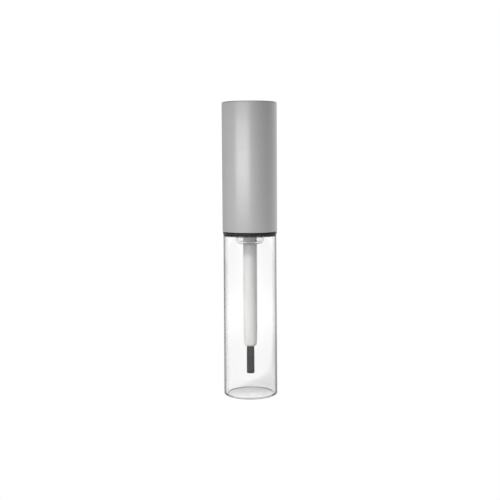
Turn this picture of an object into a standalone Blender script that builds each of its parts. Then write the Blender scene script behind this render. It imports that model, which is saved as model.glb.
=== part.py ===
"""A clear lip gloss tube with a tall silver screw cap, an applicator rod and a small brush.

Metres, +Z up. The origin is the centre of the bottle's flat base, and +Z runs up the axis of
the tube. The cap is screwed down. Every turned piece has its origin on that axis, which is the
axis that the cap turns about and is lifted along.
"""

import math

import bmesh
import bpy
from mathutils import Matrix, Vector

MM = 0.001

# Driving dimensions
BOTTLE_TOP_R = 8.73 * MM
BOTTLE_BASE_R = 8.88 * MM
BOTTLE_WALL = 1.1 * MM
BOTTLE_FLOOR = 0.4 * MM
SHOULDER_Z = 54.4 * MM
STEP_R = 8.0 * MM
STEP_Z = 53.4 * MM
NECK_R = 6.0 * MM
NECK_BORE_R = 4.7 * MM
NECK_TOP_Z = 62.4 * MM
CAP_R = 9.0 * MM
CAP_BOTTOM_Z = 54.5 * MM
CAP_TOP_Z = 96.6 * MM
CAP_WALL = 0.5 * MM
ROD_R = 2.28 * MM
ROD_END_Z = 16.3 * MM
BRUSH_R = 1.3 * MM
BRUSH_END_Z = 7.1 * MM

# Fits
LOOSE = 0.06 * MM  # between pieces that rest on, turn in or slide through one another
SEATED = 0.08 * MM  # between pieces that are pressed together on the real tube

# The stack above the neck: wiper flange, washer, rod flange, then the inner cap's deck and socket
WIPER_FLANGE = 0.6 * MM
WASHER = 0.6 * MM
ROD_FLANGE = 0.75 * MM
WIPER_TOP_Z = NECK_TOP_Z + LOOSE + WIPER_FLANGE
WASHER_BOTTOM_Z = WIPER_TOP_Z + LOOSE
WASHER_TOP_Z = WASHER_BOTTOM_Z + WASHER
ROD_FLANGE_TOP_Z = WASHER_TOP_Z + LOOSE + ROD_FLANGE
DECK_Z = ROD_FLANGE_TOP_Z + SEATED
SOCKET_TOP_Z = 76.5 * MM

# The blind hole in the rod's end that the brush is stapled into
BORE_R = 1.22 * MM
BORE_DEPTH = 4.2 * MM
ANCHOR_R = 0.25 * MM
ANCHOR_Z = ROD_END_Z + BORE_DEPTH - 0.5 * MM

# Screw thread, on the neck and in the inner cap
THREAD_PITCH = 2.5 * MM
THREAD_TURNS = 1.5
THREAD_START_Z = 55.8 * MM
THREAD_HEIGHT = 0.44 * MM
THREAD_FOOT = 1.1 * MM
THREAD_CREST = 0.45 * MM
THREAD_SINK = 0.15 * MM
THREAD_FADE = 0.12  # share of the thread's length over which each end runs out

# How finely round shapes are divided
ROUND_STEPS = 64
SMALL_ROUND_STEPS = 40
ARC_STEPS = 4
THREAD_STEPS = 60
SMOOTH_ANGLE = math.radians(35)
WELD = 1e-7

AXIS = (0, 0, 1)


def clear_scene():
    for obj in list(bpy.data.objects):
        bpy.data.objects.remove(obj, do_unlink=True)


def make_material(name, colour, roughness, metallic=0.0, transmission=0.0, ior=1.5):
    material = bpy.data.materials.new(name)
    material.use_nodes = True
    shader = material.node_tree.nodes["Principled BSDF"]
    shader.inputs["Base Color"].default_value = (*colour, 1)
    shader.inputs["Roughness"].default_value = roughness
    shader.inputs["Metallic"].default_value = metallic
    shader.inputs["Transmission Weight"].default_value = transmission
    shader.inputs["IOR"].default_value = ior
    return material


def arc(centre_r, centre_z, radius, start_degrees, end_degrees, steps=ARC_STEPS):
    """Points of an outline along an arc. 0 degrees points outwards and 90 degrees upwards."""
    points = []
    for i in range(steps + 1):
        angle = math.radians(start_degrees + (end_degrees - start_degrees) * i / steps)
        points.append((centre_r + radius * math.cos(angle), centre_z + radius * math.sin(angle)))
    return points


def add_object(name, bm, material=None):
    mesh = bpy.data.meshes.new(name)
    bm.to_mesh(mesh)
    bm.free()
    obj = bpy.data.objects.new(name, mesh)
    bpy.context.scene.collection.objects.link(obj)
    if material:
        mesh.materials.append(material)
        mesh.shade_smooth()
        mesh.set_sharp_from_angle(angle=SMOOTH_ANGLE)
    return obj


def turned(name, outline, material, steps=ROUND_STEPS):
    """A solid of revolution. The outline is (radius, height) points around the section.

    It closes on itself, or through the axis if its first and last points lie there.
    """
    bm = bmesh.new()
    corners = [bm.verts.new((r, 0, z)) for r, z in outline]
    edges = [bm.edges.new(pair) for pair in zip(corners, corners[1:])]
    if outline[0][0] > 0:
        edges.append(bm.edges.new((corners[-1], corners[0])))
    bmesh.ops.spin(
        bm,
        geom=corners + edges,
        cent=(0, 0, 0),
        axis=AXIS,
        angle=2 * math.pi,
        steps=steps,
        use_merge=True,
    )
    bmesh.ops.remove_doubles(bm, verts=bm.verts, dist=WELD)
    bmesh.ops.recalc_face_normals(bm, faces=bm.faces)
    return add_object(name, bm, material)


def as_helper(obj):
    obj.hide_render = True
    obj.display_type = "WIRE"
    return obj


def combine(obj, helper, operation):
    modifier = obj.modifiers.new(helper.name, "BOOLEAN")
    modifier.operation = operation
    modifier.solver = "EXACT"
    modifier.object = helper


def thread_ridge(name, wall_r, start_z, outwards):
    """A helical ridge on a wall, sunk a little into it, whose two ends run out into the wall."""
    bm = bmesh.new()
    rings = []
    for i in range(THREAD_STEPS + 1):
        along = i / THREAD_STEPS
        angle = 2 * math.pi * THREAD_TURNS * along
        middle = start_z + THREAD_PITCH * THREAD_TURNS * along
        rise = min(1, along / THREAD_FADE, (1 - along) / THREAD_FADE)
        height = THREAD_HEIGHT * rise - THREAD_SINK / 2 * (1 - rise)
        foot_r = wall_r - outwards * THREAD_SINK
        crest_r = wall_r + outwards * height
        section = [
            (foot_r, middle - THREAD_FOOT / 2),
            (crest_r, middle - THREAD_CREST / 2),
            (crest_r, middle + THREAD_CREST / 2),
            (foot_r, middle + THREAD_FOOT / 2),
        ]
        rings.append([bm.verts.new((r * math.cos(angle), r * math.sin(angle), z)) for r, z in section])
    for before, after in zip(rings, rings[1:]):
        for j in range(len(before)):
            k = (j + 1) % len(before)
            bm.faces.new((before[j], before[k], after[k], after[j]))
    bm.faces.new(rings[0])
    bm.faces.new(rings[-1])
    bmesh.ops.recalc_face_normals(bm, faces=bm.faces)
    return as_helper(add_object(name, bm))


def bottle():
    """The clear bottle: flat base, straight wall, a stepped shoulder and a threaded neck."""
    base_round = 0.6 * MM
    floor_round = 0.4 * MM
    shoulder_thickness = 1.1 * MM
    inner_round = 0.5 * MM
    lip_chamfer = 0.3 * MM
    inner_top_r = BOTTLE_TOP_R - BOTTLE_WALL
    inner_base_r = BOTTLE_BASE_R - BOTTLE_WALL
    ceiling_z = SHOULDER_Z - shoulder_thickness
    outline = [
        (0, 0),
        *arc(BOTTLE_BASE_R - base_round, base_round, base_round, -90, 0),
        (BOTTLE_TOP_R, STEP_Z),
        (STEP_R, STEP_Z),
        (STEP_R, SHOULDER_Z),
        (NECK_R, SHOULDER_Z),
        (NECK_R, NECK_TOP_Z - lip_chamfer),
        (NECK_R - lip_chamfer, NECK_TOP_Z),
        (NECK_BORE_R + lip_chamfer, NECK_TOP_Z),
        (NECK_BORE_R, NECK_TOP_Z - lip_chamfer),
        (NECK_BORE_R, ceiling_z + lip_chamfer),
        (NECK_BORE_R + lip_chamfer, ceiling_z),
        *arc(inner_top_r - inner_round, ceiling_z - inner_round, inner_round, 90, 0),
        *arc(inner_base_r - floor_round, BOTTLE_FLOOR + floor_round, floor_round, 0, -90),
        (0, BOTTLE_FLOOR),
    ]
    clear = make_material("clear_bottle", (1, 1, 1), 0.02, transmission=1.0, ior=1.54)
    obj = turned("bottle", outline, clear)
    combine(obj, thread_ridge("neck_thread", NECK_R, THREAD_START_Z, outwards=1), "UNION")
    return obj


def wiper():
    """The plug in the neck: a thin cup that hangs below the shoulder and closes in to the rod."""
    flange_r = 5.9 * MM
    sleeve_r = NECK_BORE_R - SEATED
    end_z = 50.6 * MM
    end_round = 1.4 * MM
    wall = 0.5 * MM
    round_r = sleeve_r - end_round
    round_z = end_z + end_round
    outline = [
        (ROD_R + LOOSE, end_z),
        *arc(round_r, round_z, end_round, -90, 0, steps=6),
        (sleeve_r, WIPER_TOP_Z - WIPER_FLANGE),
        (flange_r, WIPER_TOP_Z - WIPER_FLANGE),
        (flange_r, WIPER_TOP_Z),
        (sleeve_r - wall, WIPER_TOP_Z),
        *arc(round_r, round_z, end_round - wall, 0, -90, steps=6),
        (ROD_R + LOOSE, end_z + wall),
    ]
    translucent = make_material("wiper_plastic", (0.93, 0.94, 0.95), 0.25, transmission=0.8)
    return turned("wiper", outline, translucent, SMALL_ROUND_STEPS)


def collar_ring():
    """The dark trim ring, set in the step round the shoulder's edge."""
    inner_r = STEP_R + LOOSE
    outer_r = 8.93 * MM
    edge_round = 0.4 * MM
    bottom_z = STEP_Z + LOOSE
    top_z = CAP_BOTTOM_Z - LOOSE
    outline = [
        (inner_r, bottom_z),
        *arc(outer_r - edge_round, bottom_z + edge_round, edge_round, -90, 0),
        *arc(outer_r - edge_round, top_z - edge_round, edge_round, 0, 90),
        (inner_r, top_z),
    ]
    black = make_material("collar_black", (0.015, 0.015, 0.017), 0.08)
    return turned("collar_ring", outline, black)


def cap_shell():
    """The drawn silver sleeve, closed at the top and open at the bottom."""
    edge_round = 0.35 * MM
    top_thickness = 0.6 * MM
    inner_round = 0.2 * MM
    rim_chamfer = 0.12 * MM
    inner_r = CAP_R - CAP_WALL
    ceiling_z = CAP_TOP_Z - top_thickness
    outline = [
        (0, CAP_TOP_Z),
        *arc(CAP_R - edge_round, CAP_TOP_Z - edge_round, edge_round, 90, 0),
        (CAP_R, CAP_BOTTOM_Z + rim_chamfer),
        (CAP_R - rim_chamfer, CAP_BOTTOM_Z),
        (inner_r + rim_chamfer, CAP_BOTTOM_Z),
        (inner_r, CAP_BOTTOM_Z + rim_chamfer),
        *arc(inner_r - inner_round, ceiling_z - inner_round, inner_round, 0, 90),
        (0, ceiling_z),
    ]
    silver = make_material("cap_silver", (0.62, 0.62, 0.63), 0.33, metallic=1.0)
    return turned("cap_shell", outline, silver)


def cap_fins():
    """Radial plates that centre the inner cap in the shell, along its skirt and above its deck."""
    count = 6
    thickness = 1.0 * MM
    outer_r = CAP_R - CAP_WALL - SEATED
    inner_r = 3.2 * MM
    skirt_r = 7.5 * MM
    bottom_z = CAP_BOTTOM_Z + 1.0 * MM
    deck_top_z = DECK_Z + 1.0 * MM
    top_z = SOCKET_TOP_Z + 3.0 * MM
    slope = 1.5 * MM
    plate = [
        (skirt_r, bottom_z),
        (outer_r, bottom_z),
        (outer_r, top_z - slope),
        (outer_r - slope, top_z),
        (inner_r, top_z - 4 * slope),
        (inner_r, deck_top_z),
        (skirt_r, deck_top_z),
    ]
    bm = bmesh.new()
    for i in range(count):
        turn = Matrix.Rotation(2 * math.pi * i / count, 3, AXIS)
        face = bm.faces.new([bm.verts.new(turn @ Vector((r, -thickness / 2, z))) for r, z in plate])
        pushed = bmesh.ops.extrude_face_region(bm, geom=[face])["geom"]
        moved = [v for v in pushed if isinstance(v, bmesh.types.BMVert)]
        bmesh.ops.translate(bm, vec=turn @ Vector((0, thickness, 0)), verts=moved)
    bmesh.ops.recalc_face_normals(bm, faces=bm.faces)
    return as_helper(add_object("cap_fins", bm))


def inner_cap():
    """The plastic liner: threaded skirt, deck, and the socket that the rod is pressed into."""
    skirt_r = 7.7 * MM
    skirt_bottom_z = CAP_BOTTOM_Z + 0.7 * MM
    thread_wall_r = NECK_R + 2 * THREAD_HEIGHT + LOOSE
    deck_thickness = 1.5 * MM
    socket_r = ROD_R + SEATED
    tube_r = 3.5 * MM
    tube_top_z = SOCKET_TOP_Z + 1.0 * MM
    edge = 0.3 * MM
    outline = [
        (0, tube_top_z),
        (tube_r - edge, tube_top_z),
        (tube_r, tube_top_z - edge),
        (tube_r, DECK_Z + deck_thickness),
        (skirt_r - edge, DECK_Z + deck_thickness),
        (skirt_r, DECK_Z + deck_thickness - edge),
        (skirt_r, skirt_bottom_z),
        (thread_wall_r + edge, skirt_bottom_z),
        (thread_wall_r, skirt_bottom_z + edge),
        (thread_wall_r, DECK_Z),
        (socket_r, DECK_Z),
        (socket_r, SOCKET_TOP_Z),
        (0, SOCKET_TOP_Z),
    ]
    white = make_material("inner_cap_white", (0.82, 0.82, 0.80), 0.4)
    obj = turned("inner_cap", outline, white)
    between_turns_z = THREAD_START_Z + THREAD_PITCH / 2
    combine(obj, thread_ridge("cap_thread", thread_wall_r, between_turns_z, outwards=-1), "UNION")
    combine(obj, cap_fins(), "UNION")
    return obj


def seal_washer():
    """The soft ring that the rod's flange presses down on the mouth of the neck."""
    outer_r = 5.8 * MM
    outline = [
        (ROD_R + LOOSE, WASHER_BOTTOM_Z),
        (outer_r, WASHER_BOTTOM_Z),
        (outer_r, WASHER_TOP_Z),
        (ROD_R + LOOSE, WASHER_TOP_Z),
    ]
    foam = make_material("washer_foam", (0.75, 0.75, 0.73), 0.7)
    return turned("seal_washer", outline, foam, SMALL_ROUND_STEPS)


def applicator_rod():
    """The rod: pressed into the inner cap, with a flange, a washer bead and a drilled round end."""
    end_r = 2.12 * MM
    end_round = 0.95 * MM
    taper_start_z = 22.0 * MM
    bead_height = 0.18 * MM
    bead_top_z = WASHER_BOTTOM_Z - LOOSE
    bead_length = 0.5 * MM
    head_chamfer = 0.4 * MM
    flange_r = 5.5 * MM
    outline = [
        (0, SOCKET_TOP_Z - LOOSE),
        (ROD_R - head_chamfer, SOCKET_TOP_Z - LOOSE),
        (ROD_R, SOCKET_TOP_Z - LOOSE - head_chamfer),
        (ROD_R, ROD_FLANGE_TOP_Z),
        (flange_r, ROD_FLANGE_TOP_Z),
        (flange_r, WASHER_TOP_Z + LOOSE),
        (ROD_R, WASHER_TOP_Z + LOOSE),
        (ROD_R, bead_top_z),
        (ROD_R + bead_height, bead_top_z - bead_length / 2),
        (ROD_R, bead_top_z - bead_length),
        (ROD_R, taper_start_z),
        *arc(end_r - end_round, ROD_END_Z + end_round, end_round, 0, -90, steps=6)[:-1],
        (BORE_R, ROD_END_Z),
        (BORE_R, ROD_END_Z + BORE_DEPTH),
        (0, ROD_END_Z + BORE_DEPTH),
    ]
    off_white = make_material("rod_white", (0.83, 0.82, 0.79), 0.35)
    return turned("applicator_rod", outline, off_white, SMALL_ROUND_STEPS)


def brush_tuft():
    """The bundle of fibres as one plain solid, necked down inside the rod's bore."""
    neck_r = BORE_R - LOOSE
    tuft_top_z = ROD_END_Z + BORE_DEPTH - LOOSE
    spread_z = ROD_END_Z - LOOSE
    spread_drop = 0.3 * MM
    end_round = 0.15 * MM
    slot_gap = 0.05 * MM
    outline = [
        (0, tuft_top_z),
        (neck_r, tuft_top_z),
        (neck_r, spread_z),
        (BRUSH_R, spread_z - spread_drop),
        *arc(BRUSH_R - end_round, BRUSH_END_Z + end_round, end_round, 0, -90, steps=2),
        (0, BRUSH_END_Z),
    ]
    fibre = make_material("brush_fibre", (0.068, 0.060, 0.054), 0.6)
    obj = turned("brush_tuft", outline, fibre, SMALL_ROUND_STEPS)
    slot_r = ANCHOR_R + slot_gap
    bm = bmesh.new()
    bmesh.ops.create_cube(bm, size=1.0)
    bmesh.ops.scale(bm, vec=(4 * BORE_R, 2 * slot_r, 4 * slot_r), verts=bm.verts)
    bmesh.ops.translate(bm, vec=(0, 0, ANCHOR_Z + slot_r), verts=bm.verts)
    combine(obj, as_helper(add_object("anchor_slot", bm)), "DIFFERENCE")
    return obj


def brush_anchor():
    """The wire staple that pins the folded fibres at the bottom of the bore."""
    length = 2 * (BORE_R - SEATED)
    sides = 16
    bm = bmesh.new()
    across = Matrix.Translation((0, 0, ANCHOR_Z)) @ Matrix.Rotation(math.pi / 2, 4, "Y")
    bmesh.ops.create_cone(
        bm,
        cap_ends=True,
        segments=sides,
        radius1=ANCHOR_R,
        radius2=ANCHOR_R,
        depth=length,
        matrix=across,
    )
    wire = make_material("anchor_wire", (0.75, 0.60, 0.35), 0.3, metallic=1.0)
    return add_object("brush_anchor", bm, wire)


def parent_empty(name, children):
    """An empty on the tube's axis that carries the pieces of one moving body."""
    empty = bpy.data.objects.new(name, None)
    bpy.context.scene.collection.objects.link(empty)
    for child in children:
        child.parent = empty
    return empty


def main():
    clear_scene()
    bottle()
    wiper()
    collar_ring()
    wand_pieces = [cap_shell(), inner_cap(), applicator_rod(), brush_tuft(), brush_anchor()]
    wand = parent_empty("turning_wand", wand_pieces)
    parent_empty("lifting_washer", [seal_washer(), wand])


main()
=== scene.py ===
"""The looks of the lip gloss tube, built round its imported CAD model.

The turned pieces are made again with finer facets, because clear plastic shows every facet. The
brush becomes a bundle of separate fibres. Metres, +Z up, with the base of the bottle on z = 0.
"""

import math
import random

import bmesh
import bpy
from mathutils import Matrix, Vector


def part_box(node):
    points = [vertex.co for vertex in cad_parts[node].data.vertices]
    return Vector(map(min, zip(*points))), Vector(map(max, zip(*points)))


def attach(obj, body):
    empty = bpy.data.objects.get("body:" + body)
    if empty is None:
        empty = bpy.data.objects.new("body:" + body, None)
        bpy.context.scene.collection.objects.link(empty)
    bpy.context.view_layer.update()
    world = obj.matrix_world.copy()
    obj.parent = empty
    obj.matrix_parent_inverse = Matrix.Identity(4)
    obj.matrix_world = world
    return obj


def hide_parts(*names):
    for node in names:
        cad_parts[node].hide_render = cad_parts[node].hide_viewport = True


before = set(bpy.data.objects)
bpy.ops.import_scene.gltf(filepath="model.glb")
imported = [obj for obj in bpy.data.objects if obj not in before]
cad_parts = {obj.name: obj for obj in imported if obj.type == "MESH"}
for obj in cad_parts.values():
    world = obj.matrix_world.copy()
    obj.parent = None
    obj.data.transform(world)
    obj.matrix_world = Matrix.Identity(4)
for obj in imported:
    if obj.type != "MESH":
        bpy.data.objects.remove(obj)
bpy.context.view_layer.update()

MM = 0.001
AXIS = (0, 0, 1)

# How finely round shapes are divided
ROUND_STEPS = 160
ARC_STEPS = 8
EDGE_STEPS = 4
WIPER_EDGE_STEPS = 3
SMOOTH_ANGLE = math.radians(40)
WELD = 1e-7

# Camera, which looks along +Y
LENS_MM = 64.8
SENSOR_MM = 36.0
CAMERA_DISTANCE = 296.6 * MM
CAMERA_HEIGHT = 75.3 * MM
CAMERA_PITCH = math.radians(-5.21)
CAMERA_ROLL = math.radians(-0.33)

# Bottle, as in the CAD
BOTTLE_TOP_R = 8.73 * MM
BOTTLE_BASE_R = 8.88 * MM
BOTTLE_WALL = 1.1 * MM
BOTTLE_FLOOR = 0.4 * MM
SHOULDER_Z = 54.4 * MM
SHOULDER_THICKNESS = 1.1 * MM
STEP_R = 8.0 * MM
STEP_Z = 53.4 * MM
NECK_R = 6.0 * MM
NECK_BORE_R = 4.7 * MM
NECK_TOP_Z = 62.4 * MM
THREAD_PITCH = 2.5 * MM
THREAD_TURNS = 1.5
THREAD_START_Z = 55.8 * MM
THREAD_HEIGHT = 0.44 * MM
THREAD_FOOT = 1.1 * MM
THREAD_CREST = 0.45 * MM
THREAD_FADE = 0.12

# Cap and rod, as in the CAD
CAP_R = 9.0 * MM
CAP_WALL = 0.5 * MM
ROD_R = 2.28 * MM
ROD_FLANGE = 0.75 * MM
BORE_R = 1.22 * MM
BORE_DEPTH = 4.2 * MM

# Gaps between neighbours, as in the CAD
LOOSE = 0.06 * MM
SEATED = 0.08 * MM

CAP_LOW, CAP_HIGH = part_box("cap_shell")
WIPER_TOP_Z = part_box("wiper")[1].z
ROD_LOW, ROD_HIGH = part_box("applicator_rod")
TUFT_LOW, TUFT_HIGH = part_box("brush_tuft")
ANCHOR_LOW, ANCHOR_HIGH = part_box("brush_anchor")
COLLAR_LOW, COLLAR_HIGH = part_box("collar_ring")
WASHER_LOW, WASHER_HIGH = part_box("seal_washer")


# ---------------------------------------------------------------- shapes


def arc(centre_r, centre_z, radius, start_degrees, end_degrees, steps=ARC_STEPS):
    """Points of an outline along an arc. 0 degrees points outwards and 90 degrees upwards."""
    points = []
    for i in range(steps + 1):
        angle = math.radians(start_degrees + (end_degrees - start_degrees) * i / steps)
        points.append((centre_r + radius * math.cos(angle), centre_z + radius * math.sin(angle)))
    return points


def straight(start, end, steps):
    """Points between two corners of an outline, without the corners."""
    (r0, z0), (r1, z1) = start, end
    return [(r0 + (r1 - r0) * i / steps, z0 + (z1 - z0) * i / steps) for i in range(1, steps)]


def add_piece(name, bm, body, material, node):
    """Makes an object of the mesh, in place of this CAD node, riding on a body."""
    mesh = bpy.data.meshes.new(name)
    bm.to_mesh(mesh)
    bm.free()
    mesh.shade_smooth()
    mesh.set_sharp_from_angle(angle=SMOOTH_ANGLE)
    mesh.materials.append(material)
    piece = bpy.data.objects.new(name, mesh)
    bpy.context.scene.collection.objects.link(piece)
    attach(piece, body)
    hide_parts(node)
    return piece


def turned(outline, steps=ROUND_STEPS):
    """A solid of revolution. The outline is (radius, height) points around the section."""
    bm = bmesh.new()
    corners = [bm.verts.new((r, 0, z)) for r, z in outline]
    edges = [bm.edges.new(pair) for pair in zip(corners, corners[1:])]
    if outline[0][0] > 0:
        edges.append(bm.edges.new((corners[-1], corners[0])))
    bmesh.ops.spin(
        bm,
        geom=corners + edges,
        cent=(0, 0, 0),
        axis=AXIS,
        angle=2 * math.pi,
        steps=steps,
        use_merge=True,
    )
    bmesh.ops.remove_doubles(bm, verts=bm.verts, dist=WELD)
    bmesh.ops.recalc_face_normals(bm, faces=bm.faces)
    return bm


def thread_rise(angle, z):
    """How far the thread stands out from the neck at this angle and height."""
    height = 0.0
    for turn in range(math.ceil(THREAD_TURNS)):
        turned_by = angle / (2 * math.pi) + turn
        along = turned_by / THREAD_TURNS
        if along > 1:
            continue
        fade = min(1, along / THREAD_FADE, (1 - along) / THREAD_FADE)
        off = abs(z - THREAD_START_Z - THREAD_PITCH * turned_by)
        side = (THREAD_FOOT / 2 - off) / ((THREAD_FOOT - THREAD_CREST) / 2)
        height = max(height, THREAD_HEIGHT * fade * min(1, max(0, side)))
    return height


def raise_thread(bm, low_z, high_z):
    """Moves the points of the neck's outer side outwards where the thread runs."""
    for v in bm.verts:
        r = math.hypot(v.co.x, v.co.y)
        if abs(r - NECK_R) < WELD and low_z < v.co.z < high_z:
            angle = math.atan2(v.co.y, v.co.x) % (2 * math.pi)
            scale = (r + thread_rise(angle, v.co.z)) / r
            v.co.x *= scale
            v.co.y *= scale


def inside_reservoir(point):
    """Whether a point of the bottle's surface is on the inner side of its wall, floor or shoulder."""
    r = math.hypot(point.x, point.y)
    in_wall = r < BOTTLE_TOP_R - BOTTLE_WALL / 2
    return in_wall and BOTTLE_FLOOR / 2 < point.z < SHOULDER_Z - SHOULDER_THICKNESS / 2


def bottle(outer_material, inner_material):
    """The bottle, with a gate mark under its floor and a thread on its neck."""
    base_round = 0.6 * MM
    floor_round = 0.4 * MM
    inner_round = 0.5 * MM
    neck_foot = 0.15 * MM
    lip_round = 0.3 * MM
    thread_row = 0.11 * MM
    gate_r = 0.9 * MM
    gate_depth = 0.12 * MM
    inner_top_r = BOTTLE_TOP_R - BOTTLE_WALL
    inner_base_r = BOTTLE_BASE_R - BOTTLE_WALL
    ceiling_z = SHOULDER_Z - SHOULDER_THICKNESS
    neck_start = (NECK_R, SHOULDER_Z + neck_foot)
    neck_end = (NECK_R, NECK_TOP_Z - lip_round)
    rows = math.ceil((neck_end[1] - neck_start[1]) / thread_row)
    outline = [
        (0, gate_depth),
        (gate_r, gate_depth),
        (gate_r + gate_depth, 0),
        *arc(BOTTLE_BASE_R - base_round, base_round, base_round, -90, 0),
        (BOTTLE_TOP_R, STEP_Z),
        (STEP_R, STEP_Z),
        (STEP_R, SHOULDER_Z),
        (NECK_R, SHOULDER_Z),
        neck_start,
        *straight(neck_start, neck_end, rows),
        *arc(NECK_R - lip_round, NECK_TOP_Z - lip_round, lip_round, 0, 90),
        *arc(NECK_BORE_R + lip_round, NECK_TOP_Z - lip_round, lip_round, 90, 180),
        *arc(NECK_BORE_R + lip_round, ceiling_z + lip_round, lip_round, 180, 270),
        *arc(inner_top_r - inner_round, ceiling_z - inner_round, inner_round, 90, 0),
        *arc(inner_base_r - floor_round, BOTTLE_FLOOR + floor_round, floor_round, 0, -90),
        (0, BOTTLE_FLOOR),
    ]
    bm = turned(outline)
    raise_thread(bm, neck_start[1], neck_end[1])
    for face in bm.faces:
        face.material_index = int(inside_reservoir(face.calc_center_median()))
    piece = add_piece("bottle_clear", bm, "bottle_body", outer_material, "bottle")
    piece.data.materials.append(inner_material)


def wiper(material):
    """A thin cup in the neck, whose bottom closes in to the rod."""
    sleeve_r = NECK_BORE_R - SEATED
    flange_r = 5.9 * MM
    flange = 0.6 * MM
    end_z = 50.6 * MM
    wall = 0.5 * MM
    end_round = 1.4 * MM
    edge = 0.12 * MM
    outline = [
        (ROD_R + LOOSE, end_z + edge),
        (ROD_R + LOOSE + edge, end_z),
        *arc(sleeve_r - end_round, end_z + end_round, end_round, -90, 0),
        (sleeve_r, WIPER_TOP_Z - flange),
        *arc(flange_r - edge, WIPER_TOP_Z - flange + edge, edge, -90, 0, WIPER_EDGE_STEPS),
        *arc(flange_r - edge, WIPER_TOP_Z - edge, edge, 0, 90, WIPER_EDGE_STEPS),
        (sleeve_r - wall + edge, WIPER_TOP_Z),
        (sleeve_r - wall, WIPER_TOP_Z - edge),
        *arc(sleeve_r - end_round, end_z + end_round, end_round - wall, 0, -90),
        (ROD_R + LOOSE + edge, end_z + wall),
        (ROD_R + LOOSE, end_z + wall - edge),
    ]
    bm = turned(outline)
    add_piece("wiper_plug", bm, "bottle_body", material, "wiper")


def collar(material):
    """The ring in the step round the bottle's shoulder."""
    inner_r = STEP_R + LOOSE
    outer_r = COLLAR_HIGH.x
    edge_round = 0.4 * MM
    outline = [
        (inner_r, COLLAR_LOW.z),
        *arc(outer_r - edge_round, COLLAR_LOW.z + edge_round, edge_round, -90, 0),
        *arc(outer_r - edge_round, COLLAR_HIGH.z - edge_round, edge_round, 0, 90),
        (inner_r, COLLAR_HIGH.z),
    ]
    bm = turned(outline)
    add_piece("collar_trim", bm, "bottle_body", material, "collar_ring")


def cap(material):
    """The metal sleeve, closed at the top."""
    edge_round = 0.35 * MM
    top_thickness = 0.6 * MM
    inner_round = 0.2 * MM
    rim_round = 0.12 * MM
    inner_r = CAP_R - CAP_WALL
    ceiling_z = CAP_HIGH.z - top_thickness
    outline = [
        (0, CAP_HIGH.z),
        *arc(CAP_R - edge_round, CAP_HIGH.z - edge_round, edge_round, 90, 0),
        *arc(CAP_R - rim_round, CAP_LOW.z + rim_round, rim_round, 0, -90, EDGE_STEPS),
        *arc(inner_r + rim_round, CAP_LOW.z + rim_round, rim_round, -90, -180, EDGE_STEPS),
        *arc(inner_r - inner_round, ceiling_z - inner_round, inner_round, 0, 90, EDGE_STEPS),
        (0, ceiling_z),
    ]
    bm = turned(outline)
    add_piece("cap_silver", bm, "wand_body", material, "cap_shell")


def rod(material):
    """The rod, with its flange, the bead that holds the washer, and the hole for the brush."""
    end_r = 2.12 * MM
    end_round = 0.95 * MM
    taper_start_z = 22.0 * MM
    bead_height = 0.18 * MM
    bead_length = 0.5 * MM
    flange_r = ROD_HIGH.x
    edge = 0.15 * MM
    head_round = 0.4 * MM
    flange_top_z = WASHER_HIGH.z + LOOSE + ROD_FLANGE
    flange_bottom_z = WASHER_HIGH.z + LOOSE
    bead_top_z = WASHER_LOW.z - LOOSE
    bore_top_z = ROD_LOW.z + BORE_DEPTH
    outline = [
        (0, ROD_HIGH.z),
        *arc(ROD_R - head_round, ROD_HIGH.z - head_round, head_round, 90, 0),
        (ROD_R, flange_top_z),
        *arc(flange_r - edge, flange_top_z - edge, edge, 90, 0, EDGE_STEPS),
        *arc(flange_r - edge, flange_bottom_z + edge, edge, 0, -90, EDGE_STEPS),
        (ROD_R, flange_bottom_z),
        (ROD_R, bead_top_z),
        (ROD_R + bead_height, bead_top_z - bead_length / 2),
        (ROD_R, bead_top_z - bead_length),
        (ROD_R, taper_start_z),
        *arc(end_r - end_round, ROD_LOW.z + end_round, end_round, 0, -90)[:-1],
        (BORE_R, ROD_LOW.z),
        (BORE_R, bore_top_z),
        (0, bore_top_z),
    ]
    bm = turned(outline)
    add_piece("rod_white", bm, "wand_body", material, "applicator_rod")


def washer(material):
    """The foam ring, with its edges rounded."""
    inner_r = ROD_R + LOOSE
    outer_r = WASHER_HIGH.x
    edge = 0.2 * MM
    outline = [
        *arc(inner_r + edge, WASHER_LOW.z + edge, edge, 180, 270, EDGE_STEPS),
        *arc(outer_r - edge, WASHER_LOW.z + edge, edge, -90, 0, EDGE_STEPS),
        *arc(outer_r - edge, WASHER_HIGH.z - edge, edge, 0, 90, EDGE_STEPS),
        *arc(inner_r + edge, WASHER_HIGH.z - edge, edge, 90, 180, EDGE_STEPS),
    ]
    bm = turned(outline)
    add_piece("washer_ring", bm, "washer_body", material, "seal_washer")


def fibre(bm, points, radius, sides=6):
    """A thin round strand through these points, closed at both ends."""
    rings = []
    for point in points:
        ring = []
        for i in range(sides):
            angle = 2 * math.pi * i / sides
            offset = Vector((radius * math.cos(angle), radius * math.sin(angle), 0))
            ring.append(bm.verts.new(point + offset))
        rings.append(ring)
    for above, below in zip(rings, rings[1:]):
        for i in range(sides):
            j = (i + 1) % sides
            bm.faces.new((above[i], below[i], below[j], above[j]))
    bm.faces.new(rings[0])
    bm.faces.new(list(reversed(rings[-1])))


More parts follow.
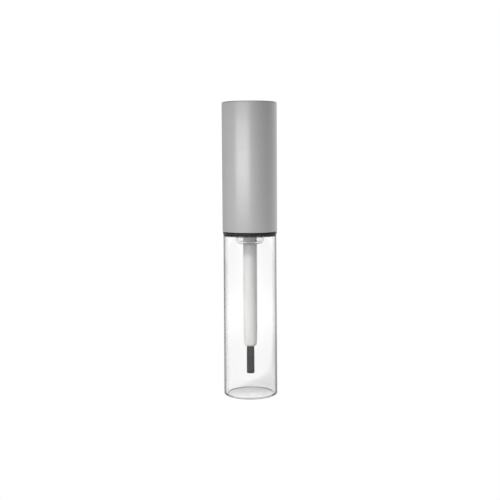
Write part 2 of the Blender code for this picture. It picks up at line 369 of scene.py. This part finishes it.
def brush(material):
    """The tuft as separate fibres, packed in a spiral, spread below the rod and cut almost level."""
    count = 330
    radius = 0.05 * MM
    packed_r = BORE_R - 2 * LOOSE
    end_r = TUFT_HIGH.x
    spread_length = 0.6 * MM
    trim_jitter = 0.12 * MM
    sway = 0.02 * MM
    sway_used = 0.7
    golden_angle = math.pi * (3 - math.sqrt(5))
    draw = random.Random(7)
    bm = bmesh.new()
    for i in range(count):
        share = math.sqrt((i + 0.5) / count)
        angle = golden_angle * i
        out = Vector((math.cos(angle), math.sin(angle), 0))
        top = out * share * (packed_r - radius)
        end = out * share * (end_r - radius - sway)
        beside_anchor = abs(top.y) > ANCHOR_HIGH.y + 2 * radius
        top.z = TUFT_HIGH.z - radius if beside_anchor else ANCHOR_LOW.z - radius
        end.z = TUFT_LOW.z + draw.uniform(0, trim_jitter)
        mouth = top.copy()
        mouth.z = ROD_LOW.z
        side = Vector((draw.uniform(-sway, sway), draw.uniform(-sway, sway), 0)) * sway_used
        spread = out * share * (end_r - radius - sway) + Vector((0, 0, ROD_LOW.z - spread_length))
        middle = (spread + end) / 2 + side
        fibre(bm, [top, mouth, spread, middle, end + side], radius)
    bmesh.ops.recalc_face_normals(bm, faces=bm.faces)
    add_piece("brush_fibres", bm, "wand_body", material, "brush_tuft")


# ---------------------------------------------------------------- node trees


class Nodes:
    """Short ways to add nodes to one tree. A value is a number, a colour or another node's output."""

    def __init__(self, tree):
        self.tree = tree

    def add(self, kind, **properties):
        node = self.tree.nodes.new(kind)
        for key, value in properties.items():
            setattr(node, key, value)
        return node

    def put(self, value, socket):
        if isinstance(value, bpy.types.NodeSocket):
            self.tree.links.new(value, socket)
        else:
            socket.default_value = value

    def maths(self, operation, *values):
        node = self.add("ShaderNodeMath", operation=operation)
        for value, socket in zip(values, node.inputs):
            self.put(value, socket)
        return node.outputs["Value"]

    def ranged(self, value, start, end, low, high, kind="LINEAR"):
        """Goes from low to high as the value goes from start to end, and stays between them."""
        node = self.add("ShaderNodeMapRange", interpolation_type=kind)
        self.put(value, node.inputs["Value"])
        self.put(start, node.inputs["From Min"])
        self.put(end, node.inputs["From Max"])
        self.put(low, node.inputs["To Min"])
        self.put(high, node.inputs["To Max"])
        return node.outputs["Result"]

    def smoothed(self, value, start, end, low, high):
        return self.ranged(value, start, end, low, high, "SMOOTHSTEP")

    def blended(self, factor, first, second):
        """A colour between two colours."""
        node = self.add("ShaderNodeMix", data_type="RGBA")
        self.put(factor, node.inputs["Factor"])
        self.put((*first, 1), node.inputs["A"])
        self.put((*second, 1), node.inputs["B"])
        return node.outputs["Result"]

    def mixed(self, factor, first, second):
        """A shader between two shaders."""
        node = self.add("ShaderNodeMixShader")
        for value, socket in zip((factor, first, second), node.inputs):
            self.put(value, socket)
        return node.outputs["Shader"]

    def glow(self, kind, strength, colour=(1, 1, 1, 1)):
        """The output of a Background or an Emission node."""
        node = self.add(kind)
        self.put(strength, node.inputs["Strength"])
        self.put(colour, node.inputs["Color"])
        return node.outputs[0]

    def by_ray(self, seen, through, reflected, bounced):
        """One shader out of four: for rays from the camera, through clear plastic, off a glossy
        surface, and after a bounce off a matt one."""
        path = self.add("ShaderNodeLightPath")
        after_bounce = self.maths("GREATER_THAN", path.outputs["Diffuse Depth"], 0.5)
        direct = self.mixed(path.outputs["Is Transmission Ray"], reflected, through)
        lit = self.mixed(after_bounce, direct, bounced)
        return self.mixed(path.outputs["Is Camera Ray"], lit, seen)


# ---------------------------------------------------------------- materials

# Noise mostly lies between these two values
NOISE_LOW = 0.3
NOISE_HIGH = 0.7
# Share of the lamps' light that passes through the bottle
LAMPS_THROUGH = 0.72


class Look(Nodes):
    """A material with one Principled shader, varied by noise."""

    def __init__(self, name, **sockets):
        self.material = bpy.data.materials.new(name)
        self.material.use_nodes = True
        super().__init__(self.material.node_tree)
        self.shader = self.tree.nodes["Principled BSDF"]
        self.out = self.tree.nodes["Material Output"]
        for key, value in sockets.items():
            self.put(value, self.shader.inputs[key.replace("_", " ")])
        self.place = self.add("ShaderNodeTexCoord").outputs["Object"]

    def noise(self, scale, detail=2.0, stretch=(1, 1, 1)):
        mapping = self.add("ShaderNodeMapping")
        self.put(self.place, mapping.inputs["Vector"])
        self.put(stretch, mapping.inputs["Scale"])
        noise = self.add("ShaderNodeTexNoise")
        self.put(mapping.outputs["Vector"], noise.inputs["Vector"])
        self.put(scale, noise.inputs["Scale"])
        self.put(detail, noise.inputs["Detail"])
        return noise.outputs["Fac"]

    def colour(self, noise, low, high):
        share = self.ranged(noise, NOISE_LOW, NOISE_HIGH, 0, 1)
        self.put(self.blended(share, low, high), self.shader.inputs["Base Color"])

    def roughness(self, noise, low, high):
        value = self.ranged(noise, NOISE_LOW, NOISE_HIGH, low, high)
        self.put(value, self.shader.inputs["Roughness"])

    def bump(self, noise, height):
        bump = self.add("ShaderNodeBump")
        self.put(height, bump.inputs["Distance"])
        self.put(1.0, bump.inputs["Strength"])
        self.put(noise, bump.inputs["Height"])
        self.put(bump.outputs["Normal"], self.shader.inputs["Normal"])

    def let_lamps_through(self):
        """Rays from lamps pass straight through, so that what is inside is lit."""
        clear = self.add("ShaderNodeBsdfTransparent")
        self.put((LAMPS_THROUGH, LAMPS_THROUGH, LAMPS_THROUGH, 1), clear.inputs["Color"])
        path = self.add("ShaderNodeLightPath")
        surface = self.mixed(path.outputs["Is Shadow Ray"], self.shader.outputs[0], clear.outputs[0])
        self.put(surface, self.out.inputs["Surface"])


def clear_plastic(name, painted_edge_shade, edge_start, edge_end, face_tint=1.0, ior=1.5, rough=(0.0, 0.02)):
    """Clear plastic, with painted shade in its colour where it is seen edge on, from edge_start to
    edge_end of that angle.
    """
    look = Look(name, Transmission_Weight=1.0, IOR=ior)
    look.roughness(look.noise(400, 3), *rough)
    # Painted shade: the base colour darkens where the surface is seen edge on
    facing = look.add("ShaderNodeLayerWeight")
    look.put(0.5, facing.inputs["Blend"])
    edge = look.smoothed(facing.outputs["Facing"], edge_start, edge_end, 0, 1)
    tint_with_painted_edge_shade = look.blended(edge, [face_tint] * 3, [painted_edge_shade] * 3)
    look.put(tint_with_painted_edge_shade, look.shader.inputs["Base Color"])
    return look


def bottle_outside():
    # Painted shade on the bottle's outer faces where they are seen edge on
    look = clear_plastic("clear_plastic", painted_edge_shade=0.08, edge_start=0.45, edge_end=0.75)
    look.let_lamps_through()
    return look.material


def bottle_inside():
    # Painted shade on the bottle's inner faces where they are seen edge on
    look = clear_plastic("clear_plastic_inside", painted_edge_shade=0.5, edge_start=0.62, edge_end=0.92)
    look.let_lamps_through()
    return look.material


def wiper_plastic():
    # Painted shade on the wiper where it is seen edge on
    look = clear_plastic(
        "wiper_plastic",
        painted_edge_shade=0.12,
        edge_start=0.5,
        edge_end=0.8,
        face_tint=0.97,
        ior=1.45,
        rough=(0.02, 0.06),
    )
    return look.material


def satin_silver():
    look = Look("satin_silver", Metallic=1.0)
    lathe_marks = look.noise(300, 2, stretch=(0.2, 0.2, 6))
    grain = look.noise(9000, 2)
    look.colour(look.noise(90, 3), (0.79, 0.79, 0.795), (0.815, 0.815, 0.815))
    look.roughness(lathe_marks, 0.3, 0.34)
    look.bump(grain, 0.002 * MM)
    return look.material


def gloss_black():
    look = Look("gloss_black")
    look.colour(look.noise(500, 2), (0.012, 0.012, 0.013), (0.02, 0.02, 0.021))
    look.roughness(look.noise(900, 2), 0.05, 0.12)
    return look.material


def white_plastic():
    look = Look("white_plastic", IOR=1.49)
    look.colour(look.noise(200, 3), (0.8, 0.8, 0.79), (0.85, 0.85, 0.84))
    look.roughness(look.noise(700, 2), 0.35, 0.5)
    return look.material


def rod_plastic():
    look = Look("rod_plastic", IOR=1.49, Specular_IOR_Level=0.25)
    flow = look.noise(150, 3, stretch=(3, 3, 0.4))
    mould_marks = look.noise(2500, 2, stretch=(1, 1, 0.2))
    look.colour(flow, (0.83, 0.82, 0.81), (0.88, 0.875, 0.87))
    look.roughness(look.noise(900, 2), 0.3, 0.42)
    look.bump(mould_marks, 0.003 * MM)
    return look.material


def foam():
    look = Look("foam")
    look.colour(look.noise(3000, 2), (0.72, 0.72, 0.7), (0.82, 0.82, 0.8))
    look.roughness(look.noise(2000, 2), 0.7, 0.9)
    look.bump(look.noise(4000, 2), 0.03 * MM)
    return look.material


def nylon():
    look = Look("nylon", Specular_IOR_Level=0.3)
    strands = look.noise(9000, 2, stretch=(1, 1, 0.02))
    look.colour(strands, (0.008, 0.0062, 0.0048), (0.034, 0.027, 0.021))
    look.roughness(look.noise(3000, 2), 0.45, 0.65)
    return look.material


def wire():
    look = Look("wire", Metallic=1.0)
    look.colour(look.noise(2000, 2), (0.62, 0.5, 0.3), (0.72, 0.6, 0.38))
    look.roughness(look.noise(4000, 2), 0.25, 0.4)
    return look.material


def dress(node, material):
    """Gives a CAD node this material and smooth shading."""
    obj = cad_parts[node]
    for slot in obj.material_slots:
        slot.material = material
    obj.data.shade_smooth()
    obj.data.set_sharp_from_angle(angle=SMOOTH_ANGLE)


# ---------------------------------------------------------------- studio

# The studio that glossy and matt pieces see: (degrees round from -Y towards +X, brightness)
GLOSSY_ROUND = [
    (-180, 0.42), (-135, 0.50), (-100, 0.56), (-70, 0.62), (-35, 0.54),
    (0, 0.64), (35, 0.46), (75, 0.34), (110, 0.38), (145, 0.60), (180, 0.75),
]
DIFFUSE_ROUND = [
    (-180, 0.8), (-120, 0.5), (-75, 0.35), (-40, 0.65),
    (0, 1.15), (50, 0.5), (90, 0.12), (130, 0.4), (180, 0.8),
]
BACKDROP_SEEN = 1.0
BACKDROP_THROUGH = 1.04

# The studio that glossy pieces see dims above the horizon, and has a bright patch overhead. The
# heights are sines of the angle above the horizon.
DIM_START = 0.12
DIM_END = 0.5
DIM_SHARE = 0.12
OVERHEAD_START = 0.6
OVERHEAD_END = 0.9
OVERHEAD_SHARE = 1.2

# The floor as the camera, glossy pieces and matt pieces see it
FLOOR_R = 3.0
FLOOR_SIDES = 64
FLOOR_DROP = 0.02 * MM
FLOOR_SEEN = 1.0
FLOOR_GLOSSY = 0.5
FLOOR_BOUNCE = 0.3
REFLECTION_FULL_R = 60 * MM
REFLECTION_GONE_R = 300 * MM

# The floor as it is seen through clear plastic: its grey, lit and in painted shadow, and its own glow
# near and far, which is painted light that is weaker near the bottle
FLOOR_GREY = 0.8
FLOOR_SHADOW_GREY = 0.2
GLOW_NEAR = 0.22
GLOW_FAR = 0.48
GLOW_NEAR_R = 25 * MM
GLOW_FAR_R = 250 * MM

# Painted shadow where the bottle darkens the floor: under it from front to back, and most below its
# rim
UNDER_FULL_R = 8.0 * MM
UNDER_END_R = 9.0 * MM
UNDER_HALF_DEPTH = 8.0 * MM
UNDER_FRONT = 0.95
UNDER_BACK = 0.3
RIM_START_R = 7.9 * MM
RIM_DARK_R = 8.2 * MM
RIM_LIGHTENS_R = 8.5 * MM
RIM_END_R = 8.9 * MM

# Height of the point that the lamps face
LAMP_AIM_Z = 75 * MM


def make_camera():
    data = bpy.data.cameras.new("camera")
    data.lens = LENS_MM
    data.sensor_width = SENSOR_MM
    camera = bpy.data.objects.new("camera", data)
    bpy.context.scene.collection.objects.link(camera)
    tilt = Matrix.Rotation(math.pi / 2 + CAMERA_PITCH, 4, "X")
    roll = Matrix.Rotation(CAMERA_ROLL, 4, "Z")
    place = Matrix.Translation((0, -CAMERA_DISTANCE, CAMERA_HEIGHT))
    camera.matrix_world = place @ tilt @ roll
    bpy.context.scene.camera = camera


def round_studio(studio, share, stops, scale=None):
    """A background whose brightness follows these stops round the horizon, times a scale."""
    ramp = studio.add("ShaderNodeValToRGB")
    ramp.color_ramp.interpolation = "B_SPLINE"
    elements = ramp.color_ramp.elements
    while len(elements) < len(stops):
        elements.new(0.5)
    brightest = max(value for _, value in stops)
    for element, (degrees, value) in zip(elements, stops):
        grey = value / brightest
        element.position = degrees / 360 + 0.5
        element.color = (grey, grey, grey, 1)
    studio.put(share, ramp.inputs["Fac"])
    strength = brightest if scale is None else studio.maths("MULTIPLY", scale, brightest)
    return studio.glow("ShaderNodeBackground", strength, ramp.outputs["Color"])


def make_world():
    """White to the camera, and softer and uneven to glossy and matt pieces."""
    world = bpy.data.worlds.new("studio")
    world.use_nodes = True
    studio = Nodes(world.node_tree)
    studio.tree.nodes.clear()
    out = studio.add("ShaderNodeOutputWorld")
    direction = studio.add("ShaderNodeSeparateXYZ")
    studio.put(studio.add("ShaderNodeTexCoord").outputs["Generated"], direction.inputs["Vector"])
    x, y, z = direction.outputs
    angle = studio.maths("ARCTAN2", x, studio.maths("MULTIPLY", y, -1))
    share = studio.maths("MULTIPLY_ADD", angle, 1 / (2 * math.pi), 0.5)
    dimmed = studio.ranged(z, DIM_START, DIM_END, 1.0, DIM_SHARE)
    overhead = studio.ranged(z, OVERHEAD_START, OVERHEAD_END, 0.0, OVERHEAD_SHARE)
    ceiling = studio.maths("ADD", dimmed, overhead)
    surface = studio.by_ray(
        seen=studio.glow("ShaderNodeBackground", BACKDROP_SEEN),
        through=studio.glow("ShaderNodeBackground", BACKDROP_THROUGH),
        reflected=round_studio(studio, share, GLOSSY_ROUND, ceiling),
        bounced=round_studio(studio, share, DIFFUSE_ROUND),
    )
    studio.put(surface, out.inputs["Surface"])
    bpy.context.scene.world = world


def floor_through_plastic(look, place, distance):
    """A matt floor with a glow of its own, which is painted light, and painted shadow that makes it
    darker under the bottle and most below its rim.
    """
    across = look.add("ShaderNodeSeparateXYZ")
    look.put(place, across.inputs["Vector"])
    # Painted shadow: darker under the bottle, towards its back, and most below its rim
    shadow_under_bottle = look.smoothed(distance, UNDER_FULL_R, UNDER_END_R, 1.0, 0.0)
    away = look.smoothed(shadow_under_bottle, 0.0, 1.0, 1.0, 0.0)
    y = across.outputs["Y"]
    depth = look.smoothed(y, -UNDER_HALF_DEPTH, UNDER_HALF_DEPTH, UNDER_FRONT, UNDER_BACK)
    inside_rim = look.smoothed(distance, RIM_START_R, RIM_DARK_R, 1.0, 0.0)
    outside_rim = look.smoothed(distance, RIM_LIGHTENS_R, RIM_END_R, 0.0, 1.0)
    clear_of_rim = look.maths("MAXIMUM", inside_rim, outside_rim)
    shade = look.maths("MULTIPLY", look.maths("MAXIMUM", away, depth), clear_of_rim)
    # Painted light: the floor's own glow, weaker near the bottle and dimmed by the painted shadow
    glow = look.smoothed(distance, GLOW_NEAR_R, GLOW_FAR_R, GLOW_NEAR, GLOW_FAR)
    matt = look.add("ShaderNodeBsdfDiffuse")
    look.put(look.smoothed(shade, 0.0, 1.0, FLOOR_SHADOW_GREY, FLOOR_GREY), matt.inputs["Color"])
    both = look.add("ShaderNodeAddShader")
    look.put(matt.outputs["BSDF"], both.inputs[0])
    look.put(look.glow("ShaderNodeEmission", look.maths("MULTIPLY", glow, shade)), both.inputs[1])
    return both.outputs["Shader"]


def floor_material():
    material = bpy.data.materials.new("floor")
    material.use_nodes = True
    look = Nodes(material.node_tree)
    look.tree.nodes.clear()
    out = look.add("ShaderNodeOutputMaterial")
    place = look.add("ShaderNodeTexCoord").outputs["Object"]
    length = look.add("ShaderNodeVectorMath", operation="LENGTH")
    look.put(place, length.inputs[0])
    distance = length.outputs["Value"]
    gone = look.ranged(distance, REFLECTION_FULL_R, REFLECTION_GONE_R, 0.0, 1.0)
    nothing = look.add("ShaderNodeBsdfTransparent").outputs["BSDF"]
    surface = look.by_ray(
        seen=look.glow("ShaderNodeEmission", FLOOR_SEEN),
        through=floor_through_plastic(look, place, distance),
        reflected=look.mixed(gone, look.glow("ShaderNodeEmission", FLOOR_GLOSSY), nothing),
        bounced=look.glow("ShaderNodeEmission", FLOOR_BOUNCE),
    )
    look.put(surface, out.inputs["Surface"])
    return material


def make_floor():
    bm = bmesh.new()
    bmesh.ops.create_circle(bm, cap_ends=True, radius=FLOOR_R, segments=FLOOR_SIDES)
    mesh = bpy.data.meshes.new("floor")
    bm.to_mesh(mesh)
    bm.free()
    mesh.materials.append(floor_material())
    floor = bpy.data.objects.new("floor", mesh)
    floor.location.z = -FLOOR_DROP
    bpy.context.scene.collection.objects.link(floor)


def area_light(name, round_degrees, up_degrees, distance, width, height, radiance):
    """A softbox that faces the object. Its radiance stays the same when its size changes."""
    data = bpy.data.lights.new(name, "AREA")
    data.shape = "RECTANGLE"
    data.size = width
    data.size_y = height
    data.energy = radiance * math.pi * width * height
    light = bpy.data.objects.new(name, data)
    bpy.context.scene.collection.objects.link(light)
    around = math.radians(round_degrees)
    up = math.radians(up_degrees)
    flat = math.cos(up)
    back = Vector((math.sin(around) * flat, -math.cos(around) * flat, math.sin(up)))
    light.location = Vector((0, 0, LAMP_AIM_Z)) + back * distance
    light.rotation_mode = "QUATERNION"
    light.rotation_quaternion = back.to_track_quat("Z", "Y")
    light.visible_camera = False
    return light


def make_lights():
    """A wide softbox that matt surfaces don't see, and a small lamp that glossy ones don't."""
    softbox = area_light(
        "softbox",
        round_degrees=-29,
        up_degrees=0,
        distance=0.33,
        width=0.36,
        height=0.12,
        radiance=0.47,
    )
    softbox.visible_diffuse = False
    key = area_light(
        "key",
        round_degrees=-33,
        up_degrees=42,
        distance=0.35,
        width=0.03,
        height=0.03,
        radiance=310.0,
    )
    key.visible_glossy = False


make_camera()
make_world()
make_floor()
make_lights()
bottle(bottle_outside(), bottle_inside())
wiper(wiper_plastic())
collar(gloss_black())
cap(satin_silver())
dress("inner_cap", white_plastic())
washer(foam())
rod(rod_plastic())
brush(nylon())
dress("brush_anchor", wire())
bpy.context.scene.view_settings.view_transform = "Standard"
